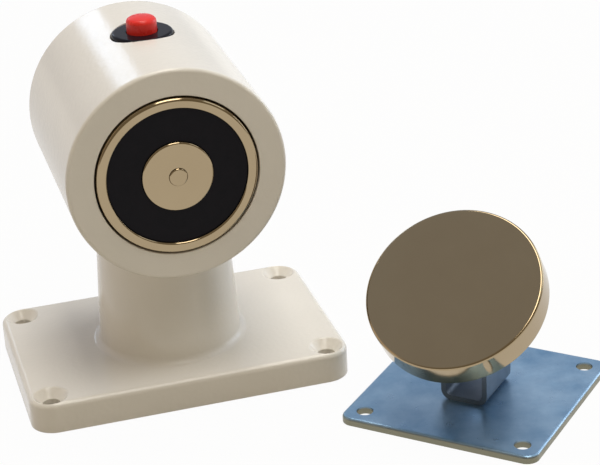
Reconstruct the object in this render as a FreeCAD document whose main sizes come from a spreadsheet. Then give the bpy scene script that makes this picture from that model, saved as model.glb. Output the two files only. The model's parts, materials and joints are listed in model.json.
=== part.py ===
import FreeCAD, Part
import math
import os
import re
import Sketcher
from FreeCAD import Placement, Rotation, Vector

# Electromagnetic door holder: a wall or floor magnet unit with a release button, and the keeper
# that is screwed to the door. Frame in millimetres: the origin is the middle of the magnet unit's
# base underside, X runs along the base, the magnet faces -Y and Z is up.

SIZES = {
    # Housing: base plate
    "base_length": 104,
    "base_width": 71,
    "base_thickness": 10,
    "base_corner": 8,
    "base_edge": 1.8,
    "base_rim": 4,
    "base_recess": 5,
    "base_hole_spacing_x": 90,
    "base_hole_spacing_y": 58,
    "base_hole_radius": 2.75,
    "base_sink_radius": 5.5,
    "base_post_radius": 7,
    # Housing: column and its cored inside
    "column_foot_radius": 23.4,
    "column_top_radius": 21.3,
    "column_foot_fillet": 2.4,
    "core_foot_radius": 18.5,
    "core_top_radius": 16.5,
    "core_height": 46,
    "passage_radius": 6,
    "passage_y": 9,
    # Housing: head
    "head_height": 79.5,
    "head_radius": 34,
    "head_length": 70,
    "head_edge": 1.2,
    "magnet_clearance": 0.5,
    "cavity_radius": 22.5,
    "rear_wall": 6,
    "boss_radius": 8,
    "fixing_hole_radius": 3.3,
    "fixing_recess_radius": 5.75,
    "fixing_recess_depth": 7.5,
    # Magnet
    "pot_radius": 25,
    "pot_length": 27,
    "pot_proud": 0.7,
    "pot_edge": 1.1,
    "pole_radius": 11.1,
    "pole_edge": 0.7,
    "groove_radius": 21.7,
    "groove_depth": 20,
    "wire_hole_radius": 1.2,
    "wire_hole_x": 13,
    "wire_hole_rise": 11.5,
    "potting_recess": 0.8,
    "potting_thickness": 2.6,
    "coil_clearance": 0.1,
    "bobbin_wall": 1,
    "winding_depth": 8.6,
    # Ejector
    "ejector_radius": 2.85,
    "ejector_clearance": 0.08,
    "ejector_proud": 0.6,
    "ejector_dome": 0.5,
    "ejector_guide": 5,
    "ejector_flange_radius": 3.9,
    "ejector_flange_thickness": 1.5,
    "ejector_stop_gap": 0.05,
    "ejector_chamber_radius": 4.2,
    "ejector_spring_radius": 3.2,
    "ejector_spring_wire": 0.35,
    "ejector_spring_turns": 4,
    "plug_radius": 5,
    "plug_length": 9,
    "plug_hole_depth": 8.5,
    "thread_gap": 0.05,
    # Fixing screw behind the magnet
    "fixing_screw_radius": 3,
    "fixing_tip_gap": 0.9,
    "fixing_head_radius": 5,
    "fixing_head_length": 6,
    "fixing_socket_flats": 5,
    "fixing_socket_depth": 3,
    "fixing_edge": 0.5,
    "lock_washer_radius": 5.3,
    "lock_washer_thickness": 1.2,
    "lock_washer_slit": 0.8,
    # Release button
    "button_y": 3.6,
    "button_pocket_radius": 10.1,
    "button_pocket_depth": 4.2,
    "bezel_radius": 9.7,
    "bezel_height": 4,
    "bezel_edge": 1,
    "bezel_well_floor": 0.4,
    "barrel_radius": 6,
    "barrel_clearance": 0.15,
    "barrel_length": 13.5,
    "barrel_roof": 5,
    "chamber_radius": 4.8,
    "cap_radius": 4.8,
    "cap_clearance": 0.3,
    "cap_height": 4.8,
    "cap_skirt": 0.5,
    "cap_edge": 1.6,
    "stem_radius": 2.5,
    "stem_clearance": 0.1,
    "stem_end": 8.3,
    "bridge_radius": 3.3,
    "bridge_thickness": 0.6,
    "bridge_edge": 0.1,
    "button_spring_radius": 1.9,
    "button_spring_wire": 0.25,
    "button_spring_turns": 3,
    "switch_base_plug": 0.5,
    "switch_base_flange": 1.5,
    "blade_inner": 3.7,
    "blade_thickness": 0.5,
    "blade_width": 2.4,
    "blade_end": 20.5,
    "blade_tab": 0.95,
    "blade_clearance": 0.05,
    "nut_flats": 15,
    "nut_thickness": 2.5,
    "nut_seat_radius": 9.4,
    # Terminal block under the roof of the column's core
    "block_length": 22,
    "block_width": 14,
    "block_height": 13,
    "block_edge": 0.6,
    "clamp_spacing": 11,
    "clamp_width": 5,
    "clamp_length": 12,
    "clamp_drop": 5.5,
    "clamp_clearance": 0.1,
    "clamp_hole_radius": 1.15,
    "clamp_screw_radius": 1.25,
    "clamp_screw_y": 3,
    "clamp_screw_head_radius": 1.9,
    "clamp_screw_head_length": 1.6,
    "clamp_screw_slot": 0.6,
    "clamp_screw_slot_depth": 0.8,
    "clamp_well_radius": 2.1,
    "block_screw_radius": 1.5,
    "block_screw_reach": 5,
    "block_screw_head_radius": 2.75,
    "block_screw_head_length": 2,
    "block_screw_sink": 2.4,
    "block_screw_clearance": 0.2,
    # Leads
    "lead_radius": 0.75,
    "lead_clamp_end": 1,
    "lead_boss_gap": 4.5,
    "lead_passage_gap": 3,
    "lead_passage_shift": 0.5,
    "lead_mouth_rise": 2,
    "lead_feed_back": 5,
    "lead_feed_rise": 4,
    "lead_return_back": 2.5,
    # Keeper: its place beside the magnet unit
    "keeper_x": 84.7,
    "keeper_y": -60.5,
    "keeper_turn": -43.8,
    # Keeper: plate and folded bracket
    "plate_side": 65,
    "plate_thickness": 2.5,
    "plate_corner": 4,
    "plate_edge": 1,
    "plate_hole_spacing": 52.5,
    "plate_hole_radius": 2.65,
    "bracket_width": 15.4,
    "bracket_depth": 19.3,
    "bracket_sheet": 1.6,
    "bracket_bend": 3.2,
    "bracket_round": 9,
    "hinge_height": 23.3,
    "hinge_to_top": 10,
    # Keeper: hinge and armature
    "hinge_pin_radius": 3,
    "hinge_clearance": 0.06,
    "hinge_head_radius": 4.8,
    "hinge_head_length": 2,
    "hinge_head_edge": 1.2,
    "washer_radius": 6,
    "washer_thickness": 0.4,
    "washer_play": 0.05,
    "yoke_depth": 13,
    "yoke_sheet": 1.5,
    "yoke_bend": 2,
    "yoke_round": 6,
    "yoke_tail": 6.5,
    "disc_radius": 27.5,
    "disc_thickness": 9.5,
    "disc_edge": 0.8,
    "disc_face_reach": 27.4,
    "disc_tilt": 36,
    "rubber_radius": 9,
    "rubber_thickness": 1.5,
    "armature_screw_radius": 2,
    "armature_screw_length": 9,
    "armature_screw_gap": 0.2,
    "armature_hole_depth": 6.5,
    "armature_head_radius": 3.5,
    "armature_head_length": 4,
    "armature_socket_flats": 3,
    "armature_socket_depth": 2,
}

doc = FreeCAD.newDocument("DoorHolder")
sheet = doc.addObject("Spreadsheet::Sheet", "Sizes")
for row, (alias, size) in enumerate(SIZES.items(), start=1):
    sheet.set(f"A{row}", str(size))
    sheet.setAlias(f"A{row}", alias)
doc.recompute()

finished = []

# Two places closer than this count as one, and two directions with this cosine as parallel
TOUCH = 0.01
PARALLEL = 0.999

# How a countersunk screw's seat narrows downwards, in degrees
SINK_SLOPE = -45

# The two sides of a middle line, as signs in a formula
SIDES = ("-", "")

# Places that several pieces share, as formulas of the sizes
HEAD_FRONT = "head_length / 2"
POT_FRONT = "(head_length / 2 + pot_proud)"
POT_SEAT = "(head_length / 2 + pot_proud - pot_length)"
BUTTON_FLOOR = "(head_height + head_radius - button_pocket_depth)"
WIRE_LEVEL = "(head_height + wire_hole_rise)"
LOW_WIRE_LEVEL = "(head_height - wire_hole_rise)"
NUT_SEAT = "(head_radius - button_pocket_depth - cavity_radius)"
CLAMP_LEVEL = "(core_height - clamp_drop)"
DISC_BACK = "(disc_face_reach - disc_thickness)"
YOKE_FACE = "(disc_face_reach - disc_thickness - rubber_thickness)"
YOKE_WIDTH = "(bracket_width - 2 * bracket_sheet - 2 * washer_thickness - 4 * washer_play)"


def cells(formula):
    """A formula of plain size names as an expression that reads the sheet."""
    return re.sub(r"[a-z_]+", lambda word: f"Sizes.{word[0]}" if word[0] in SIZES else word[0], formula)


def value(formula):
    """What a formula of size names comes to now."""
    return float(sheet.evalExpression(cells(formula)))


def same(first, second):
    """Whether two measures agree."""
    return abs(first - second) < TOUCH


def bind(item, **properties):
    """Tie properties of a document object to formulas of the sizes."""
    for name, formula in properties.items():
        item.setExpression(name, cells(formula))


def place(item, x="0", y="0", z="0", turn=Rotation(), carrier=Placement()):
    """Put a piece at a point of its carrier's frame, turned as given."""
    item.Placement = carrier.multiply(Placement(Vector(value(x), value(y), value(z)), turn))


def finish(item, label):
    """Name a piece and put it on the list of pieces to write."""
    item.Label = label
    finished.append(item)
    return item


# Bodies and sketches

def new_body(name):
    return doc.addObject("PartDesign::Body", name)


def new_sketch(body, role, offset="0"):
    """An empty sketch on one of the body's own planes, moved along the plane's normal."""
    sketch = body.newObject("Sketcher::SketchObject", body.Name + "_sketch")
    plane = next(item for item in body.Origin.OriginFeatures if item.Role == role)
    sketch.AttachmentSupport = [(plane, "")]
    sketch.MapMode = "FlatFace"
    sketch.AttachmentOffset = Placement(Vector(0, 0, value(offset)), Rotation())
    if offset != "0":
        sketch.setExpression("AttachmentOffset.Base.z", cells(offset))
    return sketch


def pin_point(sketch, edge, end, across, along):
    """Fix one point of a sketch by formulas for its two coordinates."""
    for kind, formula, axis in (("DistanceX", across, -2), ("DistanceY", along, -1)):
        if formula == "0":
            sketch.addConstraint(Sketcher.Constraint("PointOnObject", edge, end, axis))
        else:
            datum = Sketcher.Constraint(kind, -1, 1, edge, end, value(formula))
            number = sketch.addConstraint(datum)
            sketch.setExpression(f"Constraints[{number}]", cells(formula))


def draw_outline(sketch, outline):
    """Closed straight edges through points given as pairs of formulas."""
    points = [Vector(value(across), value(along), 0) for across, along in outline]
    first = sketch.GeometryCount
    count = len(points)
    for step in range(count):
        sketch.addGeometry(Part.LineSegment(points[step], points[(step + 1) % count]))
    for step in range(count):
        following = first + (step + 1) % count
        sketch.addConstraint(Sketcher.Constraint("Coincident", first + step, 2, following, 1))
    for step, (across, along) in enumerate(outline):
        pin_point(sketch, first + step, 1, across, along)


def draw_rectangle(sketch, length, width, across="0", along="0"):
    """A rectangle about a point, sized by formulas."""
    left, right = f"{across} - ({length}) / 2", f"{across} + ({length}) / 2"
    low, high = f"{along} - ({width}) / 2", f"{along} + ({width}) / 2"
    draw_outline(sketch, [(left, low), (right, low), (right, high), (left, high)])


def draw_circle(sketch, radius, across="0", along="0"):
    """A circle about a point, sized by formulas."""
    centre = Vector(value(across), value(along), 0)
    edge = sketch.addGeometry(Part.Circle(centre, Vector(0, 0, 1), value(radius)))
    number = sketch.addConstraint(Sketcher.Constraint("Radius", edge, value(radius)))
    sketch.setExpression(f"Constraints[{number}]", cells(radius))
    pin_point(sketch, edge, 3, across, along)


def draw_four_circles(sketch, radius, spacing_across, spacing_along):
    """Equal circles at the corners of a rectangle about the sketch's origin."""
    for side in SIDES:
        for end in SIDES:
            draw_circle(sketch, radius, f"{side}({spacing_across}) / 2", f"{end}({spacing_along}) / 2")


def pad(body, sketch, length, symmetric=False):
    feature = body.newObject("PartDesign::Pad", body.Name + "_pad")
    feature.Profile = sketch
    feature.SideType = "Symmetric" if symmetric else "One side"
    bind(feature, Length=length)
    doc.recompute()
    return feature


def pocket(body, sketch, length, along_normal=False, symmetric=False, taper=0):
    """Cut a sketch away, against its plane's normal or along it, and see that it cuts."""
    before = body.Shape.Volume
    feature = body.newObject("PartDesign::Pocket", body.Name + "_pocket")
    feature.Profile = sketch
    feature.SideType = "Symmetric" if symmetric else "One side"
    feature.Reversed = along_normal
    feature.TaperAngle = taper
    bind(feature, Length=length)
    doc.recompute()
    if body.Shape.Volume >= before:
        raise RuntimeError(f"{body.Name}: a pocket cuts nothing")
    return feature


def revolve(body, outline, kind="Revolution"):
    """Turn a profile of (radius, height) formulas about the body's Z axis, as metal or as a cut."""
    sketch = new_sketch(body, "XZ_Plane")
    draw_outline(sketch, outline)
    before = 0 if body.Shape.isNull() else body.Shape.Volume
    feature = body.newObject("PartDesign::" + kind, body.Name + "_turned")
    feature.Profile = sketch
    feature.ReferenceAxis = (sketch, ["V_Axis"])
    feature.Angle = 360
    doc.recompute()
    if kind == "Groove" and body.Shape.Volume >= before:
        raise RuntimeError(f"{body.Name}: a groove cuts nothing")
    return feature


def round_edges(body, wanted, radius, kind="Fillet"):
    """Round or bevel the edges of the body that the test picks."""
    base = body.Tip
    names = [f"Edge{number}" for number, edge in enumerate(base.Shape.Edges, start=1) if wanted(edge)]
    if not names:
        raise RuntimeError(f"{body.Name}: no edge to round")
    feature = body.newObject("PartDesign::" + kind, body.Name + "_edge")
    feature.Base = (base, names)
    bind(feature, **{"Radius" if kind == "Fillet" else "Size": radius})
    doc.recompute()
    return feature


def is_ring(edge, radius, centre):
    """Whether an edge is a full circle of that radius about that point."""
    if edge.Curve.TypeId != "Part::GeomCircle":
        return False
    return same(edge.Curve.Radius, radius) and edge.Curve.Center.distanceToPoint(centre) < TOUCH


def runs_along(edge, axis):
    """Whether an edge is straight and lies along an axis."""
    if edge.Curve.TypeId != "Part::GeomLine":
        return False
    return abs(edge.Curve.Direction.dot(axis)) > PARALLEL


def turned(name, outline):
    """A turned piece from its half profile."""
    body = new_body(name)
    revolve(body, outline)
    return body


def tube(name, outer, inner, low, high):
    """A plain ring from its radii and its two ends."""
    return turned(name, [(inner, low), (outer, low), (outer, high), (inner, high)])


def cut_hexagon(name, base, flats, depth, x="0", y="0", z="0"):
    """Cut a hexagonal socket down into a piece."""
    tool = doc.addObject("Part::Prism", name + "_socket")
    tool.Polygon = 6
    bind(tool, Circumradius=f"{flats} / 2 / cos(30)", Height=depth)
    place(tool, x, y, z)
    cut = doc.addObject("Part::Cut", name)
    cut.Base = base
    cut.Tool = tool
    doc.recompute()
    return cut


def group(name, pieces):
    """Like pieces that share one node, each its own solid."""
    compound = doc.addObject("Part::Compound", name)
    compound.Links = pieces
    doc.recompute()
    return compound


def spring(name, radius, wire, height, turns):
    """A coil spring standing on its own origin, as tall as given over its wire."""
    body = new_body(name)
    sketch = new_sketch(body, "XZ_Plane")
    draw_circle(sketch, wire, radius, wire)
    coil = body.newObject("PartDesign::AdditiveHelix", name + "_coil")
    coil.Profile = sketch
    coil.ReferenceAxis = (sketch, ["V_Axis"])
    coil.Mode = "height-turns-angle"
    bind(coil, Height=f"{height} - 2 * {wire}", Turns=turns)
    doc.recompute()
    return body


# Housing: one casting with the base, the column and the head

def make_housing_outside(body):
    sketch = new_sketch(body, "XY_Plane")
    draw_rectangle(sketch, "base_length", "base_width")
    pad(body, sketch, "base_thickness")
    round_edges(body, lambda edge: runs_along(edge, Vector(0, 0, 1)), "base_corner")
    top = value("base_thickness")
    round_edges(body, lambda edge: same(edge.BoundBox.ZMin, top), "base_edge")
    revolve(body, [("0", "base_thickness - base_edge"),
                   ("column_foot_radius", "base_thickness - base_edge"),
                   ("column_foot_radius", "base_thickness"),
                   ("column_top_radius", "head_height - head_radius"),
                   ("column_top_radius", "head_height"),
                   ("0", "head_height")])
    foot = Vector(0, 0, top)
    round_edges(body, lambda edge: is_ring(edge, value("column_foot_radius"), foot), "column_foot_fillet")
    sketch = new_sketch(body, "XZ_Plane")
    draw_circle(sketch, "head_radius", "0", "head_height")
    pad(body, sketch, "head_length", symmetric=True)
    ends = [Vector(0, end * value(HEAD_FRONT), value("head_height")) for end in (-1, 1)]
    rim = value("head_radius")
    round_edges(body, lambda edge: any(is_ring(edge, rim, end) for end in ends), "head_edge")


def make_head_inside(body):
    """Magnet bore from the front, cavity behind it round the screw boss, and the button's pocket."""
    sketch = new_sketch(body, "XZ_Plane", HEAD_FRONT)
    draw_circle(sketch, "pot_radius + magnet_clearance", "0", "head_height")
    pocket(body, sketch, "pot_length - pot_proud")
    sketch = new_sketch(body, "XZ_Plane", POT_SEAT)
    draw_circle(sketch, "cavity_radius", "0", "head_height")
    draw_circle(sketch, "boss_radius", "0", "head_height")
    pocket(body, sketch, f"head_length / 2 - rear_wall + {POT_SEAT}")
    sketch = new_sketch(body, "XZ_Plane", POT_SEAT)
    draw_circle(sketch, "fixing_hole_radius", "0", "head_height")
    pocket(body, sketch, f"head_length / 2 + {POT_SEAT}")
    sketch = new_sketch(body, "XZ_Plane", "-head_length / 2")
    draw_circle(sketch, "fixing_recess_radius", "0", "head_height")
    pocket(body, sketch, "fixing_recess_depth", along_normal=True)
    sketch = new_sketch(body, "XY_Plane", BUTTON_FLOOR)
    draw_circle(sketch, "button_pocket_radius", "0", "button_y")
    pocket(body, sketch, "button_pocket_depth", along_normal=True)
    sketch = new_sketch(body, "XY_Plane", "head_height + cavity_radius")
    draw_circle(sketch, "nut_seat_radius", "0", "button_y")
    pocket(body, sketch, "cavity_radius - sqrt(cavity_radius ^ 2 - nut_seat_radius ^ 2)")
    sketch = new_sketch(body, "XY_Plane", BUTTON_FLOOR)
    draw_circle(sketch, "barrel_radius + barrel_clearance", "0", "button_y")
    pocket(body, sketch, f"{NUT_SEAT} + nut_thickness")


def make_column_inside(body):
    """Cored column, the passage for the leads and the recessed underside of the base."""
    revolve(body, [("0", "0"), ("core_foot_radius", "0"), ("core_top_radius", "core_height"),
                   ("0", "core_height")], "Groove")
    sketch = new_sketch(body, "XY_Plane", "core_height")
    draw_circle(sketch, "passage_radius", "0", "passage_y")
    pocket(body, sketch, "head_height - core_height - sqrt(cavity_radius ^ 2 - passage_radius ^ 2)",
           along_normal=True)
    sketch = new_sketch(body, "XY_Plane", "core_height")
    draw_circle(sketch, "block_screw_radius + thread_gap")
    pocket(body, sketch, "block_screw_reach + block_screw_clearance", along_normal=True)
    sketch = new_sketch(body, "XY_Plane")
    draw_rectangle(sketch, "base_length - 2 * base_rim", "base_hole_spacing_y - 2 * base_post_radius")
    pocket(body, sketch, "base_recess", along_normal=True)
    sketch = new_sketch(body, "XY_Plane")
    draw_rectangle(sketch, "base_hole_spacing_x - 2 * base_post_radius", "base_width - 2 * base_rim")
    pocket(body, sketch, "base_recess", along_normal=True)


def make_base_holes(body):
    """Four screw holes with sinks for countersunk heads. Each cone runs on a little inside its hole."""
    sketch = new_sketch(body, "XY_Plane", "base_thickness")
    draw_four_circles(sketch, "base_sink_radius", "base_hole_spacing_x", "base_hole_spacing_y")
    pocket(body, sketch, "base_sink_radius - base_hole_radius / 2", taper=SINK_SLOPE)
    sketch = new_sketch(body, "XY_Plane", "base_thickness")
    draw_four_circles(sketch, "base_hole_radius", "base_hole_spacing_x", "base_hole_spacing_y")
    pocket(body, sketch, "base_thickness")


def make_housing():
    body = new_body("Housing")
    make_housing_outside(body)
    make_head_inside(body)
    make_column_inside(body)
    make_base_holes(body)
    finish(body, "housing")


# Magnet: its pieces stand on the pot's front face, with their own Z pointing to the rear

TO_REAR = Rotation(Vector(1, 0, 0), -90)


def place_in_magnet(item):
    place(item, "0", f"-{POT_FRONT}", "head_height", TO_REAR)


def make_magnet_pot():
    body = turned("MagnetPot", [
        ("ejector_radius + ejector_clearance", "0"),
        ("pole_radius", "0"),
        ("pole_radius", "groove_depth"),
        ("groove_radius", "groove_depth"),
        ("groove_radius", "0"),
        ("pot_radius", "0"),
        ("pot_radius", "pot_length"),
        ("plug_radius + thread_gap", "pot_length"),
        ("plug_radius + thread_gap", "pot_length - plug_length"),
        ("ejector_chamber_radius", "pot_length - plug_length"),
        ("ejector_chamber_radius", "ejector_guide"),
        ("ejector_radius + ejector_clearance", "ejector_guide")])
    groove_sides = [value("pole_radius"), value("groove_radius")]
    round_edges(body, lambda edge: any(is_ring(edge, side, Vector()) for side in groove_sides), "pole_edge")
    round_edges(body, lambda edge: is_ring(edge, value("pot_radius"), Vector()), "pot_edge")
    sketch = new_sketch(body, "XY_Plane", "pot_length")
    for side in SIDES:
        draw_circle(sketch, "wire_hole_radius", "wire_hole_x", f"{side}wire_hole_rise")
    pocket(body, sketch, "pot_length - groove_depth")
    place_in_magnet(body)
    finish(body, "magnet_pot")


def make_coil():
    inner = "(pole_radius + coil_clearance)"
    outer = "(groove_radius - coil_clearance)"
    front = "(potting_recess + potting_thickness)"
    ring = tube("PottingRing", outer, inner, "potting_recess", front)
    place_in_magnet(ring)
    finish(ring, "potting_ring")
    bobbin = turned("CoilBobbin", [
        (inner, front),
        (outer, front),
        (outer, f"{front} + bobbin_wall"),
        (f"{inner} + bobbin_wall", f"{front} + bobbin_wall"),
        (f"{inner} + bobbin_wall", "groove_depth - bobbin_wall"),
        (outer, "groove_depth - bobbin_wall"),
        (outer, "groove_depth"),
        (inner, "groove_depth")])
    place_in_magnet(bobbin)
    finish(bobbin, "coil_bobbin")
    winding_inner = f"({inner} + bobbin_wall + coil_clearance)"
    winding = tube("CoilWinding", f"{winding_inner} + winding_depth", winding_inner,
                   f"{front} + bobbin_wall", "groove_depth - bobbin_wall")
    place_in_magnet(winding)
    finish(winding, "coil_winding")


def make_ejector():
    flange_front = "(ejector_guide + ejector_stop_gap)"
    flange_back = "(ejector_guide + ejector_stop_gap + ejector_flange_thickness)"
    pin = turned("EjectorPin", [
        ("0", "-ejector_proud"),
        ("ejector_radius", "-ejector_proud"),
        ("ejector_radius", flange_front),
        ("ejector_flange_radius", flange_front),
        ("ejector_flange_radius", flange_back),
        ("0", flange_back)])
    tip = Vector(0, 0, -value("ejector_proud"))
    round_edges(pin, lambda edge: is_ring(edge, value("ejector_radius"), tip), "ejector_dome")
    place_in_magnet(pin)
    finish(pin, "ejector_pin")
    coil = spring("EjectorSpring", "ejector_spring_radius", "ejector_spring_wire",
                  f"(pot_length - plug_length - {flange_back})", "ejector_spring_turns")
    place(coil, "0", f"-{POT_FRONT} + {flange_back}", "head_height", TO_REAR)
    finish(coil, "ejector_spring")
    plug = turned("EjectorPlug", [
        ("0", "pot_length - plug_length"),
        ("plug_radius", "pot_length - plug_length"),
        ("plug_radius", "pot_length"),
        ("fixing_screw_radius + thread_gap", "pot_length"),
        ("fixing_screw_radius + thread_gap", "pot_length - plug_hole_depth"),
        ("0", "pot_length - plug_hole_depth")])
    place_in_magnet(plug)
    finish(plug, "ejector_plug")


def make_fixing_screw():
    """Socket screw and lock washer, from the rear wall into the plug. Z points to the rear."""
    recess_floor = "(head_length / 2 - fixing_recess_depth)"
    plug_floor = f"({POT_SEAT} + plug_hole_depth)"
    tip = f"(fixing_tip_gap - {recess_floor} - lock_washer_thickness - {plug_floor})"
    shank = turned("FixingShank", [
        ("0", tip),
        ("fixing_screw_radius - fixing_edge", tip),
        ("fixing_screw_radius", f"{tip} + fixing_edge"),
        ("fixing_screw_radius", "0"),
        ("fixing_head_radius", "0"),
        ("fixing_head_radius", "fixing_head_length - fixing_edge"),
        ("fixing_head_radius - fixing_edge", "fixing_head_length"),
        ("0", "fixing_head_length")])
    screw = cut_hexagon("FixingScrew", shank, "fixing_socket_flats", "fixing_socket_depth",
                        z="fixing_head_length - fixing_socket_depth")
    place(screw, "0", f"{recess_floor} + lock_washer_thickness", "head_height", TO_REAR)
    finish(screw, "fixing_screw")
    ring = tube("LockRing", "lock_washer_radius", "fixing_hole_radius", "0", "lock_washer_thickness")
    sketch = new_sketch(ring, "XY_Plane")
    draw_rectangle(sketch, "lock_washer_slit", "lock_washer_radius", "0", "lock_washer_radius")
    pocket(ring, sketch, "lock_washer_thickness", along_normal=True)
    place(ring, "0", recess_floor, "head_height", TO_REAR)
    finish(ring, "lock_washer")


# Release button: its pieces stand on the floor of the pocket in the head's top

def place_in_pocket(item, z="0"):
    place(item, "0", "button_y", f"{BUTTON_FLOOR} + {z}")


def make_switch_body():
    well = "cap_radius + cap_clearance"
    guide = "stem_radius + stem_clearance"
    body = turned("SwitchBody", [
        (guide, "-barrel_roof"),
        ("chamber_radius", "-barrel_roof"),
        ("chamber_radius", "-barrel_length"),
        ("barrel_radius", "-barrel_length"),
        ("barrel_radius", "0"),
        ("bezel_radius", "0"),
        ("bezel_radius", "bezel_height"),
        (well, "bezel_height"),
        (well, "bezel_well_floor"),
        (guide, "bezel_well_floor")])
    brim = Vector(0, 0, value("bezel_height"))
    round_edges(body, lambda edge: is_ring(edge, value("bezel_radius"), brim), "bezel_edge")
    place_in_pocket(body)
    finish(body, "switch_body")


def make_button_cap():
    body = turned("ButtonCap", [
        ("0", "bezel_height + cap_height"),
        ("cap_radius", "bezel_height + cap_height"),
        ("cap_radius", "bezel_height - cap_skirt"),
        ("stem_radius", "bezel_height - cap_skirt"),
        ("stem_radius", "-stem_end"),
        ("0", "-stem_end")])
    crown = Vector(0, 0, value("bezel_height + cap_height"))
    round_edges(body, lambda edge: is_ring(edge, value("cap_radius"), crown), "cap_edge")
    place_in_pocket(body)
    finish(body, "button_cap")


def make_break_contact():
    """Bridge under the stem, pressed up against the two blades by the return spring."""
    bridge = turned("ContactBridge", [
        ("0", "-stem_end - bridge_thickness"),
        ("bridge_radius - bridge_edge", "-stem_end - bridge_thickness"),
        ("bridge_radius", "-stem_end - bridge_thickness + bridge_edge"),
        ("bridge_radius", "-stem_end"),
        ("0", "-stem_end")])
    place_in_pocket(bridge)
    finish(bridge, "contact_bridge")
    spring_foot = "(switch_base_plug - barrel_length)"
    coil = spring("ButtonSpring", "button_spring_radius", "button_spring_wire",
                  f"(-stem_end - bridge_thickness - {spring_foot})", "button_spring_turns")
    place_in_pocket(coil, spring_foot)
    finish(coil, "button_spring")
    blades = [make_blade(side) for side in (-1, 1)]
    finish(group("SwitchTerminals", blades), "switch_terminals")


def make_blade(side):
    """One fixed contact: a soldering blade with a tab that reaches over the bridge."""
    body = new_body("Blade")
    sketch = new_sketch(body, "XZ_Plane")
    reach = "blade_inner + blade_thickness"
    tip = "blade_inner - blade_tab"
    tab_top = "blade_thickness - stem_end"
    draw_outline(sketch, [("blade_inner", "-blade_end"), (reach, "-blade_end"), (reach, tab_top),
                          (tip, tab_top), (tip, "-stem_end"), ("blade_inner", "-stem_end")])
    pad(body, sketch, "blade_width", symmetric=True)
    turn = Rotation(Vector(0, 0, 1), 0 if side > 0 else 180)
    place(body, "0", "button_y", BUTTON_FLOOR, turn)
    return body


def make_switch_base():
    body = turned("SwitchBase", [
        ("0", "switch_base_plug - barrel_length"),
        ("chamber_radius - blade_clearance", "switch_base_plug - barrel_length"),
        ("chamber_radius - blade_clearance", "-barrel_length"),
        ("barrel_radius", "-barrel_length"),
        ("barrel_radius", "-barrel_length - switch_base_flange"),
        ("0", "-barrel_length - switch_base_flange")])
    sketch = new_sketch(body, "XY_Plane", "switch_base_plug - barrel_length")
    for side in SIDES:
        draw_rectangle(sketch, "blade_thickness + 2 * blade_clearance", "blade_width + 2 * blade_clearance",
                       f"{side}(blade_inner + blade_thickness / 2)")
    pocket(body, sketch, "switch_base_plug + switch_base_flange")
    place_in_pocket(body)
    finish(body, "switch_base")


def make_switch_nut():
    hexagon = doc.addObject("Part::Prism", "NutHexagon")
    hexagon.Polygon = 6
    bind(hexagon, Circumradius="nut_flats / 2 / cos(30)", Height="nut_thickness")
    thread = doc.addObject("Part::Cylinder", "NutThread")
    bind(thread, Radius="barrel_radius + thread_gap", Height="nut_thickness")
    nut = doc.addObject("Part::Cut", "SwitchNut")
    nut.Base = hexagon
    nut.Tool = thread
    doc.recompute()
    place_in_pocket(nut, f"-{NUT_SEAT} - nut_thickness")
    finish(nut, "switch_nut")


# Terminal block: hangs under the roof of the column's core, with its own Z pointing down

DOWN = Rotation(Vector(1, 0, 0), 180)


def place_under_roof(item, x="0", y="0", z="0"):
    place(item, x, y, f"core_height - ({z})", DOWN)


def make_terminal_block():
    body = new_body("TerminalBlock")
    sketch = new_sketch(body, "XY_Plane")
    draw_rectangle(sketch, "block_length", "block_width")
    pad(body, sketch, "block_height")
    round_edges(body, lambda edge: runs_along(edge, Vector(0, 0, 1)), "block_edge")
    channel = "(clamp_width + 2 * clamp_clearance)"
    sketch = new_sketch(body, "XZ_Plane")
    for side in SIDES:
        draw_rectangle(sketch, channel, channel, f"{side}clamp_spacing / 2", "clamp_drop")
    pocket(body, sketch, "block_width", symmetric=True)
    sketch = new_sketch(body, "XY_Plane", "block_height")
    draw_four_circles(sketch, "clamp_well_radius", "clamp_spacing", "2 * clamp_screw_y")
    pocket(body, sketch, "block_height - clamp_drop")
    sketch = new_sketch(body, "XY_Plane", "block_height")
    draw_circle(sketch, "block_screw_radius + block_screw_clearance")
    pocket(body, sketch, "block_height")
    sketch = new_sketch(body, "XY_Plane", "block_height")
    draw_circle(sketch, "block_screw_head_radius + block_screw_clearance")
    pocket(body, sketch, "block_screw_sink")
    place_under_roof(body)
    finish(body, "terminal_block")


def make_clamp(side):
    """Brass block with a hole for the wires and two tapped holes for the screws below."""
    body = new_body("Clamp")
    sketch = new_sketch(body, "XY_Plane", "clamp_drop - clamp_width / 2")
    draw_rectangle(sketch, "clamp_width", "clamp_length")
    pad(body, sketch, "clamp_width")
    sketch = new_sketch(body, "XZ_Plane")
    draw_circle(sketch, "clamp_hole_radius", "0", "clamp_drop")
    pocket(body, sketch, "clamp_length", symmetric=True)
    sketch = new_sketch(body, "XY_Plane", "clamp_drop + clamp_width / 2")
    for end in SIDES:
        draw_circle(sketch, "clamp_screw_radius + thread_gap", "0", f"{end}clamp_screw_y")
    pocket(body, sketch, "clamp_width / 2")
    place_under_roof(body, f"{side}clamp_spacing / 2")
    return body


def make_clamp_screw(side, end):
    """Slotted screw whose tip presses the wire."""
    tip = "(clamp_drop + lead_radius)"
    under_head = "(clamp_drop + clamp_width / 2 + clamp_clearance)"
    face = f"({under_head} + clamp_screw_head_length)"
    body = turned("ClampScrew", [
        ("0", tip),
        ("clamp_screw_radius", tip),
        ("clamp_screw_radius", under_head),
        ("clamp_screw_head_radius", under_head),
        ("clamp_screw_head_radius", face),
        ("0", face)])
    sketch = new_sketch(body, "XY_Plane", face)
    draw_rectangle(sketch, "clamp_screw_slot", "2 * clamp_screw_head_radius")
    pocket(body, sketch, "clamp_screw_slot_depth")
    place_under_roof(body, f"{side}clamp_spacing / 2", f"{end}clamp_screw_y")
    return body


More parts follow.
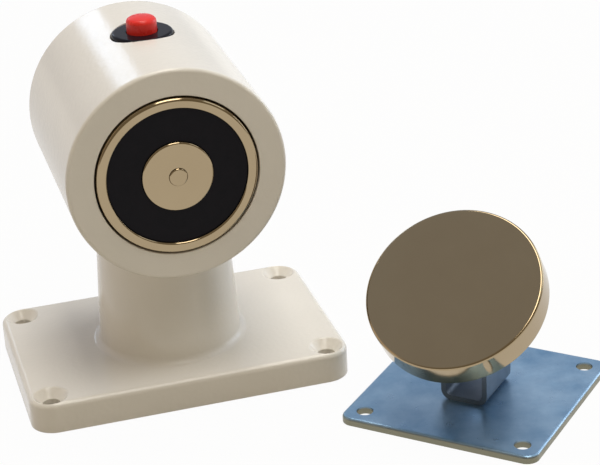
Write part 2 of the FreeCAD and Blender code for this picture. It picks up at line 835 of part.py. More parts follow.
def make_terminals():
    make_terminal_block()
    finish(group("TerminalClamps", [make_clamp(side) for side in SIDES]), "terminal_clamps")
    screws = [make_clamp_screw(side, end) for side in SIDES for end in SIDES]
    finish(group("TerminalScrews", screws), "terminal_screws")
    head = "(block_height - block_screw_sink)"
    screw = turned("BlockScrew", [
        ("0", "-block_screw_reach"),
        ("block_screw_radius", "-block_screw_reach"),
        ("block_screw_radius", head),
        ("block_screw_head_radius", head),
        ("block_screw_head_radius", f"{head} + block_screw_head_length"),
        ("0", f"{head} + block_screw_head_length")])
    sketch = new_sketch(screw, "XY_Plane", f"{head} + block_screw_head_length")
    draw_rectangle(sketch, "clamp_screw_slot", "2 * block_screw_head_radius")
    pocket(screw, sketch, "clamp_screw_slot_depth")
    place_under_roof(screw)
    finish(screw, "terminal_fixing_screw")


# Leads: straight runs joined by arcs that take up this share of the shorter run at each corner

RUN_SHARE = 0.45


def lead_path(points):
    """The wire through a list of points, with each corner rounded."""
    edges = []
    start = points[0]
    for before, corner, following in zip(points, points[1:], points[2:]):
        back = before.sub(corner)
        ahead = following.sub(corner)
        trim = RUN_SHARE * min(back.Length, ahead.Length)
        back.normalize()
        ahead.normalize()
        enter = corner.add(back * trim)
        leave = corner.add(ahead * trim)
        half_turn = (back * -1).getAngle(ahead) / 2
        radius = trim / math.tan(half_turn)
        inward = back.add(ahead)
        inward.normalize()
        hub_distance = (trim ** 2 + radius ** 2) ** 0.5
        middle = corner.add(inward * (hub_distance - radius))
        edges.append(Part.LineSegment(start, enter).toShape())
        edges.append(Part.Arc(enter, middle, leave).toShape())
        start = leave
    edges.append(Part.LineSegment(start, points[-1]).toShape())
    return Part.Wire(edges)


def make_lead(label, route):
    """A round lead along points given as triples of formulas."""
    points = [Vector(value(x), value(y), value(z)) for x, y, z in route]
    path = lead_path(points)
    section = Part.Circle(points[0], points[1].sub(points[0]), value("lead_radius")).toShape()
    solid = path.makePipeShell([Part.Wire([section])], True, False)
    feature = doc.addObject("Part::Feature", label)
    feature.Shape = solid
    finish(feature, label)


def make_leads():
    blade_face = "(blade_inner + blade_thickness)"
    coil_end = f"groove_depth - {POT_FRONT}"
    beside_boss = "(boss_radius + lead_boss_gap)"
    clamp_x = "clamp_spacing / 2"
    rear_turn = "passage_y - lead_passage_shift"
    rise_x = "(passage_radius - lead_passage_gap)"
    rise_y = "passage_y + lead_passage_shift"
    rise_z = "(head_height - sqrt(cavity_radius ^ 2 - passage_radius ^ 2) + lead_mouth_rise)"
    make_lead("lead_feed", [
        (f"-{clamp_x}", "lead_clamp_end", CLAMP_LEVEL),
        (f"-{clamp_x}", rear_turn, CLAMP_LEVEL),
        (f"-{rise_x}", rise_y, rise_z),
        (f"-{beside_boss}", "button_y + lead_feed_back", f"{LOW_WIRE_LEVEL} + lead_feed_rise"),
        (f"-{beside_boss}", "button_y", WIRE_LEVEL),
        (f"-{blade_face}", "button_y", WIRE_LEVEL)])
    make_lead("lead_coil", [
        (blade_face, "button_y", WIRE_LEVEL),
        ("wire_hole_x", "button_y", WIRE_LEVEL),
        ("wire_hole_x", coil_end, WIRE_LEVEL)])
    make_lead("lead_return", [
        ("wire_hole_x", coil_end, LOW_WIRE_LEVEL),
        ("wire_hole_x", "button_y + lead_return_back", LOW_WIRE_LEVEL),
        (rise_x, rise_y, rise_z),
        (clamp_x, rear_turn, CLAMP_LEVEL),
        (clamp_x, "lead_clamp_end", CLAMP_LEVEL)])


# Keeper: all its pieces are placed in the keeper's own frame, the middle of the plate's underside

KEEPER = Placement(Vector(value("keeper_x"), value("keeper_y"), 0),
                   Rotation(Vector(0, 0, 1), value("keeper_turn")))
HINGE = KEEPER.multiply(Placement(Vector(0, 0, value("hinge_height")), Rotation()))
TILTED = HINGE.multiply(Placement(Vector(), Rotation(Vector(1, 0, 0), value("disc_tilt"))))
TO_RIGHT = Rotation(Vector(0, 1, 0), 90)


def make_keeper_plate():
    body = new_body("KeeperPlate")
    sketch = new_sketch(body, "XY_Plane")
    draw_rectangle(sketch, "plate_side", "plate_side")
    pad(body, sketch, "plate_thickness")
    round_edges(body, lambda edge: runs_along(edge, Vector(0, 0, 1)), "plate_corner")
    top = value("plate_thickness")
    round_edges(body, lambda edge: same(edge.BoundBox.ZMin, top), "plate_edge")
    sketch = new_sketch(body, "XY_Plane", "plate_thickness")
    draw_four_circles(sketch, "plate_hole_radius", "plate_hole_spacing", "plate_hole_spacing")
    pocket(body, sketch, "plate_thickness")
    place(body, carrier=KEEPER)
    finish(body, "keeper_plate")


def folded_u(name, width, depth, height, sheet_size, bend, crown):
    """A strip folded to a U that stands on its web, with rounded ends on its flanges."""
    body = new_body(name)
    inside = f"{width} / 2 - {sheet_size}"
    sketch = new_sketch(body, "XZ_Plane")
    draw_outline(sketch, [
        (f"-{width} / 2", "0"), (f"{width} / 2", "0"), (f"{width} / 2", height),
        (inside, height), (inside, sheet_size), (f"-({inside})", sheet_size),
        (f"-({inside})", height), (f"-{width} / 2", height)])
    pad(body, sketch, depth, symmetric=True)
    fold = Vector(0, 1, 0)
    across = Vector(1, 0, 0)
    web = value(sheet_size)
    top = value(height)
    round_edges(body, lambda edge: runs_along(edge, fold) and same(edge.BoundBox.ZMin, 0), bend)
    round_edges(body, lambda edge: runs_along(edge, fold) and same(edge.BoundBox.ZMin, web),
                f"{bend} - {sheet_size}")
    round_edges(body, lambda edge: runs_along(edge, across) and same(edge.BoundBox.ZMin, top), crown)
    return body


def drill_hinge(body, radius, height, width):
    sketch = new_sketch(body, "YZ_Plane")
    draw_circle(sketch, radius, "0", height)
    pocket(body, sketch, width, symmetric=True)


def make_keeper_bracket():
    body = folded_u("KeeperBracket", "bracket_width", "bracket_depth",
                    "hinge_height + hinge_to_top - plate_thickness",
                    "bracket_sheet", "bracket_bend", "bracket_round")
    drill_hinge(body, "hinge_pin_radius + hinge_clearance", "hinge_height - plate_thickness", "bracket_width")
    place(body, z="plate_thickness", carrier=KEEPER)
    finish(body, "keeper_bracket")


def make_hinge():
    half = "bracket_width / 2"
    pin = turned("HingePin", [
        ("0", f"-{half} - hinge_head_length"),
        ("hinge_head_radius", f"-{half} - hinge_head_length"),
        ("hinge_head_radius", f"-{half}"),
        ("hinge_pin_radius", f"-{half}"),
        ("hinge_pin_radius", half),
        ("hinge_head_radius", half),
        ("hinge_head_radius", f"{half} + hinge_head_length"),
        ("0", f"{half} + hinge_head_length")])
    reach = value(f"{half} + hinge_head_length")
    crowns = [Vector(0, 0, end * reach) for end in (-1, 1)]
    head = value("hinge_head_radius")
    round_edges(pin, lambda edge: any(is_ring(edge, head, crown) for crown in crowns), "hinge_head_edge")
    place(pin, turn=TO_RIGHT, carrier=HINGE)
    finish(pin, "hinge_pin")
    inner_face = "bracket_width / 2 - bracket_sheet - washer_play"
    washers = []
    for side in (-1, 1):
        washer = tube("FrictionWasher", "washer_radius", "hinge_pin_radius + hinge_clearance",
                      f"{inner_face} - washer_thickness", inner_face)
        place(washer, turn=Rotation(Vector(0, 1, 0), side * 90), carrier=HINGE)
        washers.append(washer)
    finish(group("FrictionWashers", washers), "friction_washers")


def make_tilt_yoke():
    body = folded_u("TiltYoke", YOKE_WIDTH, "yoke_depth", f"{YOKE_FACE} + yoke_tail",
                    "yoke_sheet", "yoke_bend", "yoke_round")
    drill_hinge(body, "hinge_pin_radius + hinge_clearance", YOKE_FACE, YOKE_WIDTH)
    sketch = new_sketch(body, "XY_Plane")
    draw_circle(sketch, "armature_screw_radius + armature_screw_gap")
    pocket(body, sketch, "yoke_sheet", along_normal=True)
    place(body, z=YOKE_FACE, turn=DOWN, carrier=TILTED)
    finish(body, "tilt_yoke")


def make_armature():
    disc = turned("ArmatureDisc", [
        ("0", "disc_face_reach"),
        ("disc_radius", "disc_face_reach"),
        ("disc_radius", DISC_BACK),
        ("armature_screw_radius + thread_gap", DISC_BACK),
        ("armature_screw_radius + thread_gap", f"{DISC_BACK} + armature_hole_depth"),
        ("0", f"{DISC_BACK} + armature_hole_depth")])
    faces = [Vector(0, 0, value(reach)) for reach in ("disc_face_reach", DISC_BACK)]
    rim = value("disc_radius")
    round_edges(disc, lambda edge: any(is_ring(edge, rim, face) for face in faces), "disc_edge")
    place(disc, carrier=TILTED)
    finish(disc, "armature_disc")
    washer = tube("RubberWasher", "rubber_radius", "armature_screw_radius + armature_screw_gap",
                  YOKE_FACE, DISC_BACK)
    place(washer, carrier=TILTED)
    finish(washer, "rubber_washer")
    under_head = f"({YOKE_FACE} - yoke_sheet)"
    shank = turned("ArmatureShank", [
        ("0", f"{under_head} - armature_head_length"),
        ("armature_head_radius", f"{under_head} - armature_head_length"),
        ("armature_head_radius", under_head),
        ("armature_screw_radius", under_head),
        ("armature_screw_radius", f"{under_head} + armature_screw_length"),
        ("0", f"{under_head} + armature_screw_length")])
    screw = cut_hexagon("ArmatureScrew", shank, "armature_socket_flats", "armature_socket_depth",
                        z=f"{under_head} - armature_head_length")
    place(screw, carrier=TILTED)
    finish(screw, "armature_screw")


def check_and_write():
    """Stop on any failed object or bad shape, then write one file for each piece."""
    doc.recompute()
    for item in doc.Objects:
        if "Invalid" in item.State or "Error" in item.State:
            raise RuntimeError(f"{item.Label} failed: {item.State}")
    for item in finished:
        if item.Shape.isNull() or not item.Shape.isValid() or not item.Shape.Solids:
            raise RuntimeError(f"{item.Label} has no valid shape")
        if item.TypeId != "Part::Compound" and len(item.Shape.Solids) > 1:
            raise RuntimeError(f"{item.Label} fell apart")
    os.makedirs("parts", exist_ok=True)
    for item in finished:
        item.Shape.exportStep(f"parts/{item.Label}.step")
        print(item.Label, "solids", len(item.Shape.Solids), "volume", round(item.Shape.Volume, 2))


make_housing()
make_magnet_pot()
make_coil()
make_ejector()
make_fixing_screw()
make_switch_body()
make_button_cap()
make_break_contact()
make_switch_base()
make_switch_nut()
make_terminals()
make_leads()
make_keeper_plate()
make_keeper_bracket()
make_hinge()
make_tilt_yoke()
make_armature()
check_and_write()
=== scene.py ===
import json
import math

import bpy
from mathutils import Matrix, Vector


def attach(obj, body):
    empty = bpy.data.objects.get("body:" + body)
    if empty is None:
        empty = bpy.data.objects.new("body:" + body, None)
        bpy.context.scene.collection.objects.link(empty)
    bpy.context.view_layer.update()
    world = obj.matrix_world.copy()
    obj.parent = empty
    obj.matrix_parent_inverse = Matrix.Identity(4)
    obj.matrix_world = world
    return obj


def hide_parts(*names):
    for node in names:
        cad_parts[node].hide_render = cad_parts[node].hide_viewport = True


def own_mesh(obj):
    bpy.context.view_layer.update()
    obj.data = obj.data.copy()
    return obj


# Electromagnetic door holder: the painted magnet unit and the zinc plated keeper beside it.
# Sizes are in millimetres and become metres where a piece is made.

MM = 0.001
WELD = 0.00001
TURN_STEPS = 128
SMALL_TURN_STEPS = 64
COIL_STEPS = 32
WIRE_STEPS = 12
ARC_STEPS = 6
SMOOTH_ANGLE = math.radians(35)
ROUND_PROFILE = 0.5
SAME_PLACE = 0.01

# Housing
BASE_LENGTH, BASE_WIDTH, BASE_THICKNESS = 104, 71, 10
BASE_CORNER, BASE_EDGE, BASE_RIM, BASE_RECESS = 8, 1.8, 4, 5
BASE_HOLE_X, BASE_HOLE_Y, BASE_HOLE_RADIUS = 45, 29, 2.75
SINK_RADIUS, SINK_EDGE, POST_RADIUS = 5.5, 1.2, 7
COLUMN_FOOT, COLUMN_TOP, FOOT_FILLET, FOOT_SINK = 23.4, 21.3, 2.4, 0.03
CORE_FOOT, CORE_TOP, CORE_HEIGHT = 18.5, 16.5, 46
PASSAGE_RADIUS, PASSAGE_Y = 6, 9
HEAD_Z, HEAD_RADIUS, HEAD_HALF, HEAD_EDGE = 79.5, 34, 35, 1.2
BORE_RADIUS, CAVITY_RADIUS, REAR_WALL, BOSS_RADIUS = 25.5, 22.5, 6, 8
BORE_LIP, BORE_WALL = 0.35, 0.5
COLUMN_END = HEAD_Z - BORE_RADIUS - BORE_WALL
FIXING_HOLE, FIXING_RECESS, FIXING_RECESS_DEPTH = 3.3, 5.75, 7.5
BLOCK_SCREW_HOLE, BLOCK_SCREW_DEPTH = 1.55, 5.2
SINK_SLOPE, SINK_RUNOUT = 45, 14
PAST = 2

# Magnet
POT_RADIUS, POT_LENGTH, POT_PROUD, POT_EDGE = 25, 27, 0.7, 1.1
POLE_RADIUS, POLE_EDGE = 11.1, 0.7
GROOVE_RADIUS, GROOVE_DEPTH = 21.7, 20
POTTING_RECESS, POTTING_DEPTH, POTTING_GAP = 0.8, 2.6, 0.1
PIN_RADIUS, PIN_BORE, PIN_PROUD, PIN_DOME = 2.85, 2.93, 0.6, 0.5
PIN_GUIDE, PIN_STOP, PIN_FLANGE, PIN_FLANGE_DEPTH = 5, 0.05, 3.9, 1.5
PIN_CHAMBER, PLUG_BORE, PLUG_DEPTH = 4.2, 5.05, 9
EJECTOR_COIL, EJECTOR_WIRE, EJECTOR_TURNS, EJECTOR_TRAVEL = 3.2, 0.35, 4, 0.6
POT_FRONT = HEAD_HALF + POT_PROUD
POT_SEAT = POT_LENGTH - POT_FRONT

# Release button
BUTTON_Y, POCKET_RADIUS, POCKET_DEPTH = 3.6, 10.1, 4.2
BARREL_HOLE, NUT_SEAT_RADIUS = 6.15, 9.4
BEZEL_RADIUS, BEZEL_HEIGHT, BEZEL_EDGE, WELL_FLOOR = 9.7, 4, 1, 0.4
BARREL_RADIUS, BARREL_LENGTH, BARREL_ROOF, CHAMBER_RADIUS = 6, 13.5, 5, 4.8
CAP_RADIUS, CAP_GAP, CAP_HEIGHT, CAP_SKIRT, CAP_EDGE = 4.8, 0.3, 4.8, 0.5, 1.6
CAP_CROWN, CAP_SHOULDER = 0.25, 80
STEM_RADIUS, STEM_GAP, STEM_END = 2.5, 0.1, 8.3
BUTTON_COIL, BUTTON_WIRE, BUTTON_TURNS, BUTTON_TRAVEL = 1.9, 0.25, 3, 2
BRIDGE_THICKNESS, SPRING_SEAT = 0.6, 0.5
POCKET_FLOOR = HEAD_Z + HEAD_RADIUS - POCKET_DEPTH
NUT_SEAT = HEAD_Z + CAVITY_RADIUS

# Keeper
KEEPER_X, KEEPER_Y, KEEPER_TURN = 84.7, -60.5, -43.8
PLATE_SIDE, PLATE_THICKNESS, PLATE_CORNER, PLATE_EDGE = 65, 2.5, 4, 1
PLATE_HOLE, PLATE_HOLE_RADIUS = 26.25, 2.65
BRACKET_WIDTH, BRACKET_DEPTH, BRACKET_SHEET, BRACKET_BEND, BRACKET_ROUND = 15.4, 19.3, 1.6, 3.2, 9
HINGE_Z, HINGE_TO_TOP, HINGE_HOLE = 23.3, 10, 3.06
YOKE_WIDTH, YOKE_DEPTH, YOKE_SHEET, YOKE_BEND, YOKE_ROUND, YOKE_TAIL = 11.2, 13, 1.5, 2, 6, 6.5
HINGE_PIN, HINGE_HEAD, HINGE_HEAD_LENGTH, HINGE_HEAD_EDGE = 3, 4.8, 2, 1.2
DISC_RADIUS, DISC_THICKNESS, DISC_EDGE, DISC_REACH, DISC_TILT = 27.5, 9.5, 0.8, 27.4, 36
RUBBER_RADIUS, RUBBER_THICKNESS = 9, 1.5
SCREW_HOLE, SCREW_THREAD_HOLE, SCREW_THREAD_DEPTH = 2.2, 2.05, 6.5
DISC_BACK = DISC_REACH - DISC_THICKNESS
YOKE_FACE = DISC_BACK - RUBBER_THICKNESS

# Camera: its place and its three directions, found from the photograph's edges
CAMERA_PLACE = (-105.46, -577.18, 313.4)
CAMERA_RIGHT = (0.9596, -0.2765, -0.0514)
CAMERA_DOWN = (-0.1611, -0.3909, -0.9062)
CAMERA_FORWARD = (0.2305, 0.8779, -0.4196)
CAMERA_LENS, CAMERA_SENSOR, CAMERA_NEAR = 119.42, 36, 0.01

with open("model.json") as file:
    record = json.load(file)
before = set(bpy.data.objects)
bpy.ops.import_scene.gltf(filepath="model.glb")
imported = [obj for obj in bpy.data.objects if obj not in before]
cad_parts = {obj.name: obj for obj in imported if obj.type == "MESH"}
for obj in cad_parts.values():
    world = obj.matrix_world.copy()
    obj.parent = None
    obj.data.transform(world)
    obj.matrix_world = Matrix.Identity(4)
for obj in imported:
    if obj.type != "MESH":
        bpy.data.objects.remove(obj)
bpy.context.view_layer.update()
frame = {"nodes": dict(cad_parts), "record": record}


def moved(x, y, z):
    """A shift along the three axes."""
    return Matrix.Translation((x, y, z))


def turned(degrees, axis):
    """A turn about one axis."""
    return Matrix.Rotation(math.radians(degrees), 4, axis)


# Places: where pieces are drawn, each a matrix from millimetres there to metres in the row frame
ROW = Matrix.Scale(MM, 4)
HEAD = ROW @ moved(0, 0, HEAD_Z) @ turned(-90, "X")
MAGNET = HEAD @ moved(0, 0, -POT_FRONT)
POCKET = ROW @ moved(0, BUTTON_Y, POCKET_FLOOR)
KEEPER = ROW @ moved(KEEPER_X, KEEPER_Y, 0) @ turned(KEEPER_TURN, "Z")
HINGE = KEEPER @ moved(0, 0, HINGE_Z)
TILTED = HINGE @ turned(DISC_TILT, "X")
ACROSS = HINGE @ turned(90, "Y")


# Ways of shaping

def begin(name):
    """Name the primitive just added and open it for shaping."""
    piece = bpy.context.object
    piece.name = name
    piece.data.name = name
    bpy.context.tool_settings.mesh_select_mode = (True, False, False)
    bpy.ops.object.mode_set(mode="EDIT")
    return piece


def clear_selection():
    """Leave no object selected."""
    bpy.ops.object.select_all(action="DESELECT")


def close():
    """End the shaping of the piece that is open."""
    bpy.ops.object.mode_set(mode="OBJECT")


def settle(piece, place):
    """Leave the piece at the origin, with its place in its mesh."""
    clear_selection()
    piece.select_set(True)
    bpy.context.view_layer.objects.active = piece
    piece.matrix_world = place
    bpy.ops.object.transform_apply(location=True, rotation=True, scale=True)
    return piece


def arc(centre, radius, start, end, steps=ARC_STEPS):
    """Points of a round stretch of a profile, from one angle to another in degrees."""
    angles = [math.radians(start + (end - start) * step / steps) for step in range(steps + 1)]
    return [(centre[0] + radius * math.cos(turn), centre[1] + radius * math.sin(turn)) for turn in angles]


def turn_profile(name, profile, place, steps=TURN_STEPS):
    """A turned piece: the half profile (radius, height) is drawn point by point and spun about Z."""
    clear_selection()
    bpy.ops.mesh.primitive_plane_add(size=1)
    piece = begin(name)
    bpy.ops.mesh.merge(type="CENTER")
    bpy.ops.transform.translate(value=(profile[0][0], 0, profile[0][1]))
    for before, after in zip(profile, profile[1:]):
        step = (after[0] - before[0], 0, after[1] - before[1])
        bpy.ops.mesh.extrude_vertices_move(TRANSFORM_OT_translate={"value": step})
    bpy.ops.mesh.select_all(action="SELECT")
    bpy.ops.mesh.spin(steps=steps, angle=math.tau, center=(0, 0, 0), axis=(0, 0, 1))
    bpy.ops.mesh.select_all(action="SELECT")
    bpy.ops.mesh.remove_doubles(threshold=WELD / MM)
    bpy.ops.mesh.normals_make_consistent(inside=False)
    close()
    return settle(piece, place)


def turn_ring(name, profile, place, steps=TURN_STEPS):
    """A turned piece with a hole: the profile ends where it began."""
    return turn_profile(name, profile + profile[:1], place, steps)


def rod(radius, low, high):
    """The half profile of a plain round bar."""
    return [(0, low), (radius, low), (radius, high), (0, high)]


def tube(inner, outer, low, high):
    """The profile of a plain ring."""
    return [(inner, low), (outer, low), (outer, high), (inner, high)]


def block(name, low, high, place):
    """A plain block between two corners."""
    clear_selection()
    bpy.ops.mesh.primitive_cube_add(size=1)
    piece = begin(name)
    bpy.ops.transform.resize(value=[top - bottom for bottom, top in zip(low, high)])
    bpy.ops.transform.translate(value=[(top + bottom) / 2 for bottom, top in zip(low, high)])
    close()
    return settle(piece, place)


def wind_coil(name, radius, wire, height, turns, place):
    """A coil spring: a ring of the wire's section, carried round and up about Z and closed at both ends."""
    clear_selection()
    bpy.ops.mesh.primitive_circle_add(vertices=WIRE_STEPS, radius=wire)
    coil = begin(name)
    bpy.ops.transform.rotate(value=math.radians(90), orient_axis="X")
    bpy.ops.transform.translate(value=(radius, 0, wire))
    close()
    winding = coil.modifiers.new("winding", "SCREW")
    winding.angle = math.tau * turns
    winding.screw_offset = height - 2 * wire
    winding.steps = COIL_STEPS * turns
    winding.render_steps = winding.steps
    bpy.ops.object.modifier_apply(modifier=winding.name)
    bpy.ops.object.mode_set(mode="EDIT")
    bpy.ops.mesh.select_all(action="SELECT")
    bpy.ops.mesh.fill_holes(sides=0)
    bpy.ops.mesh.normals_make_consistent(inside=False)
    close()
    return settle(coil, place)


def choose_edges(piece, wanted):
    """Select the edges whose two ends, in the piece's own lengths, pass the test."""
    bpy.context.view_layer.objects.active = piece
    bpy.context.tool_settings.mesh_select_mode = (False, True, False)
    bpy.ops.object.mode_set(mode="EDIT")
    bpy.ops.mesh.select_all(action="DESELECT")
    close()
    points = [vertex.co / MM for vertex in piece.data.vertices]
    for edge in piece.data.edges:
        edge.select = wanted(*(points[number] for number in edge.vertices))
    bpy.ops.object.mode_set(mode="EDIT")


def bevel_edges(piece, wanted, width, segments=ARC_STEPS):
    """Round the edges that pass the test."""
    choose_edges(piece, wanted)
    bpy.ops.mesh.bevel(offset=width * MM, segments=segments, profile=ROUND_PROFILE, affect="EDGES")
    close()


def near(first, second):
    """Whether two lengths in millimetres are the same."""
    return abs(first - second) < SAME_PLACE


def combine(piece, tool, operation):
    """Join a second piece to the first or cut it away, and use it up."""
    modifier = piece.modifiers.new(operation.lower(), "BOOLEAN")
    modifier.operation = operation
    modifier.solver = "EXACT"
    modifier.object = tool
    bpy.context.view_layer.objects.active = piece
    bpy.ops.object.modifier_apply(modifier=modifier.name)
    bpy.data.objects.remove(tool)


def cut_corners(piece, hole, reach_x, reach_y):
    """The same turned hole at four corners."""
    for x in (-reach_x, reach_x):
        for y in (-reach_y, reach_y):
            cutter = turn_profile("hole", hole, ROW @ moved(x, y, 0), SMALL_TURN_STEPS)
            combine(piece, cutter, "DIFFERENCE")


def smooth(piece):
    """Round shading over the curves and plain shading on the flats."""
    clear_selection()
    piece.select_set(True)
    bpy.context.view_layer.objects.active = piece
    bpy.ops.object.shade_smooth_by_angle(angle=SMOOTH_ANGLE)
    modifier = piece.modifiers.new("flats", "WEIGHTED_NORMAL")
    modifier.keep_sharp = True
    bpy.ops.object.modifier_apply(modifier=modifier.name)


def dress(piece, node, body, material=None):
    """Let a finished piece stand for its CAD node, in the finish of its slot unless another is given."""
    smooth(piece)
    piece.data.materials.clear()
    piece.data.materials.append(material or FINISHES[SLOTS[node]])
    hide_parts(node)
    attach(piece, body)


# Housing: one painted casting

def make_base():
    """The base plate with round corners and a soft upper edge."""
    half_length, half_width = BASE_LENGTH / 2, BASE_WIDTH / 2
    low, high = (-half_length, -half_width, 0), (half_length, half_width, BASE_THICKNESS)
    base = block("housing_paint", low, high, ROW)
    bevel_edges(base, lambda a, b: near(a.x, b.x) and near(a.y, b.y), BASE_CORNER, 2 * ARC_STEPS)
    bevel_edges(base, lambda a, b: near(a.z, BASE_THICKNESS) and near(b.z, BASE_THICKNESS), BASE_EDGE)
    return base


def make_column():
    """The tapered column with the fillet round its foot."""
    taper = math.atan((COLUMN_FOOT - COLUMN_TOP) / (HEAD_Z - HEAD_RADIUS - BASE_THICKNESS))
    hub_z = BASE_THICKNESS + FOOT_FILLET - FOOT_SINK
    hub_r = COLUMN_FOOT - FOOT_FILLET * math.tan(taper) + FOOT_FILLET / math.cos(taper)
    foot = arc((hub_r, hub_z), FOOT_FILLET, 270, 180 + math.degrees(taper), 2 * ARC_STEPS)
    middle = (BASE_THICKNESS + BASE_RECESS) / 2
    profile = [(0, middle), (hub_r, middle)] + foot
    profile += [(COLUMN_TOP, HEAD_Z - HEAD_RADIUS), (COLUMN_TOP, COLUMN_END), (0, COLUMN_END)]
    return turn_profile("column", profile, ROW)


def make_head():
    """The round head with what is turned about its axis: fixing recess, boss, cavity and magnet bore."""
    rim = HEAD_RADIUS - HEAD_EDGE
    rear = HEAD_HALF - REAR_WALL
    floor = HEAD_HALF - FIXING_RECESS_DEPTH
    profile = arc((rim, HEAD_EDGE - HEAD_HALF), HEAD_EDGE, -90, 0)
    profile += arc((rim, HEAD_HALF - HEAD_EDGE), HEAD_EDGE, 0, 90)
    profile += [(FIXING_RECESS, HEAD_HALF), (FIXING_RECESS, floor), (FIXING_HOLE, floor),
                (FIXING_HOLE, POT_SEAT), (BOSS_RADIUS, POT_SEAT), (BOSS_RADIUS, rear),
                (CAVITY_RADIUS, rear), (CAVITY_RADIUS, POT_SEAT), (BORE_RADIUS, POT_SEAT)]
    profile += arc((BORE_RADIUS + BORE_LIP, BORE_LIP - HEAD_HALF), BORE_LIP, 180, 270)
    return turn_ring("head", profile, HEAD)


def cut_head(housing):
    """The release button's pocket, the hole of its barrel and the flat for its nut."""
    seat = NUT_SEAT - POCKET_FLOOR
    below = seat - PAST
    pocket = [(0, POCKET_DEPTH + PAST), (POCKET_RADIUS, POCKET_DEPTH + PAST), (POCKET_RADIUS, 0),
              (BARREL_HOLE, 0), (BARREL_HOLE, seat), (NUT_SEAT_RADIUS, seat), (NUT_SEAT_RADIUS, below),
              (0, below)]
    combine(housing, turn_profile("pocket", pocket, POCKET, SMALL_TURN_STEPS), "DIFFERENCE")


def cut_column(housing):
    """The cored inside, the passage for the leads and the hole of the terminal block's screw."""
    core = [(0, -PAST), (CORE_FOOT, -PAST), (CORE_FOOT, 0), (CORE_TOP, CORE_HEIGHT), (0, CORE_HEIGHT)]
    combine(housing, turn_profile("core", core, ROW), "DIFFERENCE")
    mouth = HEAD_Z - CAVITY_RADIUS + PAST
    passage = rod(PASSAGE_RADIUS, CORE_HEIGHT - PAST, mouth)
    place = ROW @ moved(0, PASSAGE_Y, 0)
    combine(housing, turn_profile("passage", passage, place, SMALL_TURN_STEPS), "DIFFERENCE")
    hole = rod(BLOCK_SCREW_HOLE, CORE_HEIGHT - PAST, CORE_HEIGHT + BLOCK_SCREW_DEPTH)
    combine(housing, turn_profile("screw_hole", hole, ROW, SMALL_TURN_STEPS), "DIFFERENCE")


def cut_base(housing):
    """The recess under the base and the four countersunk holes with soft painted rims."""
    long_reach = (BASE_LENGTH / 2 - BASE_RIM, BASE_HOLE_Y - POST_RADIUS)
    wide_reach = (BASE_HOLE_X - POST_RADIUS, BASE_WIDTH / 2 - BASE_RIM)
    for reach_x, reach_y in (long_reach, wide_reach):
        recess = block("recess", (-reach_x, -reach_y, -PAST), (reach_x, reach_y, BASE_RECESS), ROW)
        combine(housing, recess, "DIFFERENCE")
    foot = BASE_THICKNESS - (SINK_RADIUS - BASE_HOLE_RADIUS)
    above = BASE_THICKNESS + PAST
    hub = (SINK_RADIUS + SINK_EDGE * math.tan(math.radians(SINK_SLOPE / 2)), BASE_THICKNESS - SINK_EDGE)
    rim = arc(hub, SINK_EDGE, 90 + SINK_SLOPE, 90 + SINK_RUNOUT)
    hole = [(0, -PAST), (BASE_HOLE_RADIUS, -PAST), (BASE_HOLE_RADIUS, foot)] + rim
    hole += [(rim[-1][0], above), (0, above)]
    cut_corners(housing, hole, BASE_HOLE_X, BASE_HOLE_Y)


def make_housing():
    """The whole casting."""
    housing = make_base()
    cut_base(housing)
    combine(housing, make_column(), "UNION")
    combine(housing, make_head(), "UNION")
    cut_head(housing)
    cut_column(housing)
    dress(housing, "housing", "base")


# Magnet: drawn from the pot's front face to the rear

def make_magnet():
    """The steel pot with its pole, and the black filling between its ring and the pole."""
    profile = [(PIN_BORE, 0)]
    profile += arc((POLE_RADIUS - POLE_EDGE, POLE_EDGE), POLE_EDGE, -90, 0)
    profile += [(POLE_RADIUS, GROOVE_DEPTH), (GROOVE_RADIUS, GROOVE_DEPTH)]
    profile += arc((GROOVE_RADIUS + POLE_EDGE, POLE_EDGE), POLE_EDGE, 180, 270)
    profile += arc((POT_RADIUS - POT_EDGE, POT_EDGE), POT_EDGE, -90, 0)
    profile += [(POT_RADIUS, POT_LENGTH), (PLUG_BORE, POT_LENGTH), (PLUG_BORE, POT_LENGTH - PLUG_DEPTH),
                (PIN_CHAMBER, POT_LENGTH - PLUG_DEPTH), (PIN_CHAMBER, PIN_GUIDE), (PIN_BORE, PIN_GUIDE)]
    dress(turn_ring("magnet_pot_nickel", profile, MAGNET), "magnet_pot", "base")
    inner, outer = POLE_RADIUS + POTTING_GAP, GROOVE_RADIUS - POTTING_GAP
    filling = tube(inner, outer, POTTING_RECESS, POTTING_RECESS + POTTING_DEPTH)
    dress(turn_ring("potting_ring_black", filling, MAGNET), "potting_ring", "base")


def make_ejector():
    """The sprung pin in the middle of the pole."""
    front = PIN_GUIDE + PIN_STOP
    back = front + PIN_FLANGE_DEPTH
    profile = [(0, -PIN_PROUD)] + arc((PIN_RADIUS - PIN_DOME, PIN_DOME - PIN_PROUD), PIN_DOME, -90, 0)
    profile += [(PIN_RADIUS, front), (PIN_FLANGE, front), (PIN_FLANGE, back), (0, back)]
    pin = turn_profile("ejector_pin_nickel", profile, MAGNET, SMALL_TURN_STEPS)
    dress(pin, "ejector_pin", "ejector")


def make_ejector_spring():
    """It stands between the pin's flange and the plug, which is its fixed end."""
    front = PIN_GUIDE + PIN_STOP + PIN_FLANGE_DEPTH
    back = POT_LENGTH - PLUG_DEPTH
    height = back - front
    place = MAGNET @ moved(0, 0, front)
    coil = wind_coil("ejector_spring_steel", EJECTOR_COIL, EJECTOR_WIRE, height, EJECTOR_TURNS, place)
    dress(coil, "ejector_spring", "base")
    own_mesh(coil)


# Release button: drawn from the floor of its pocket

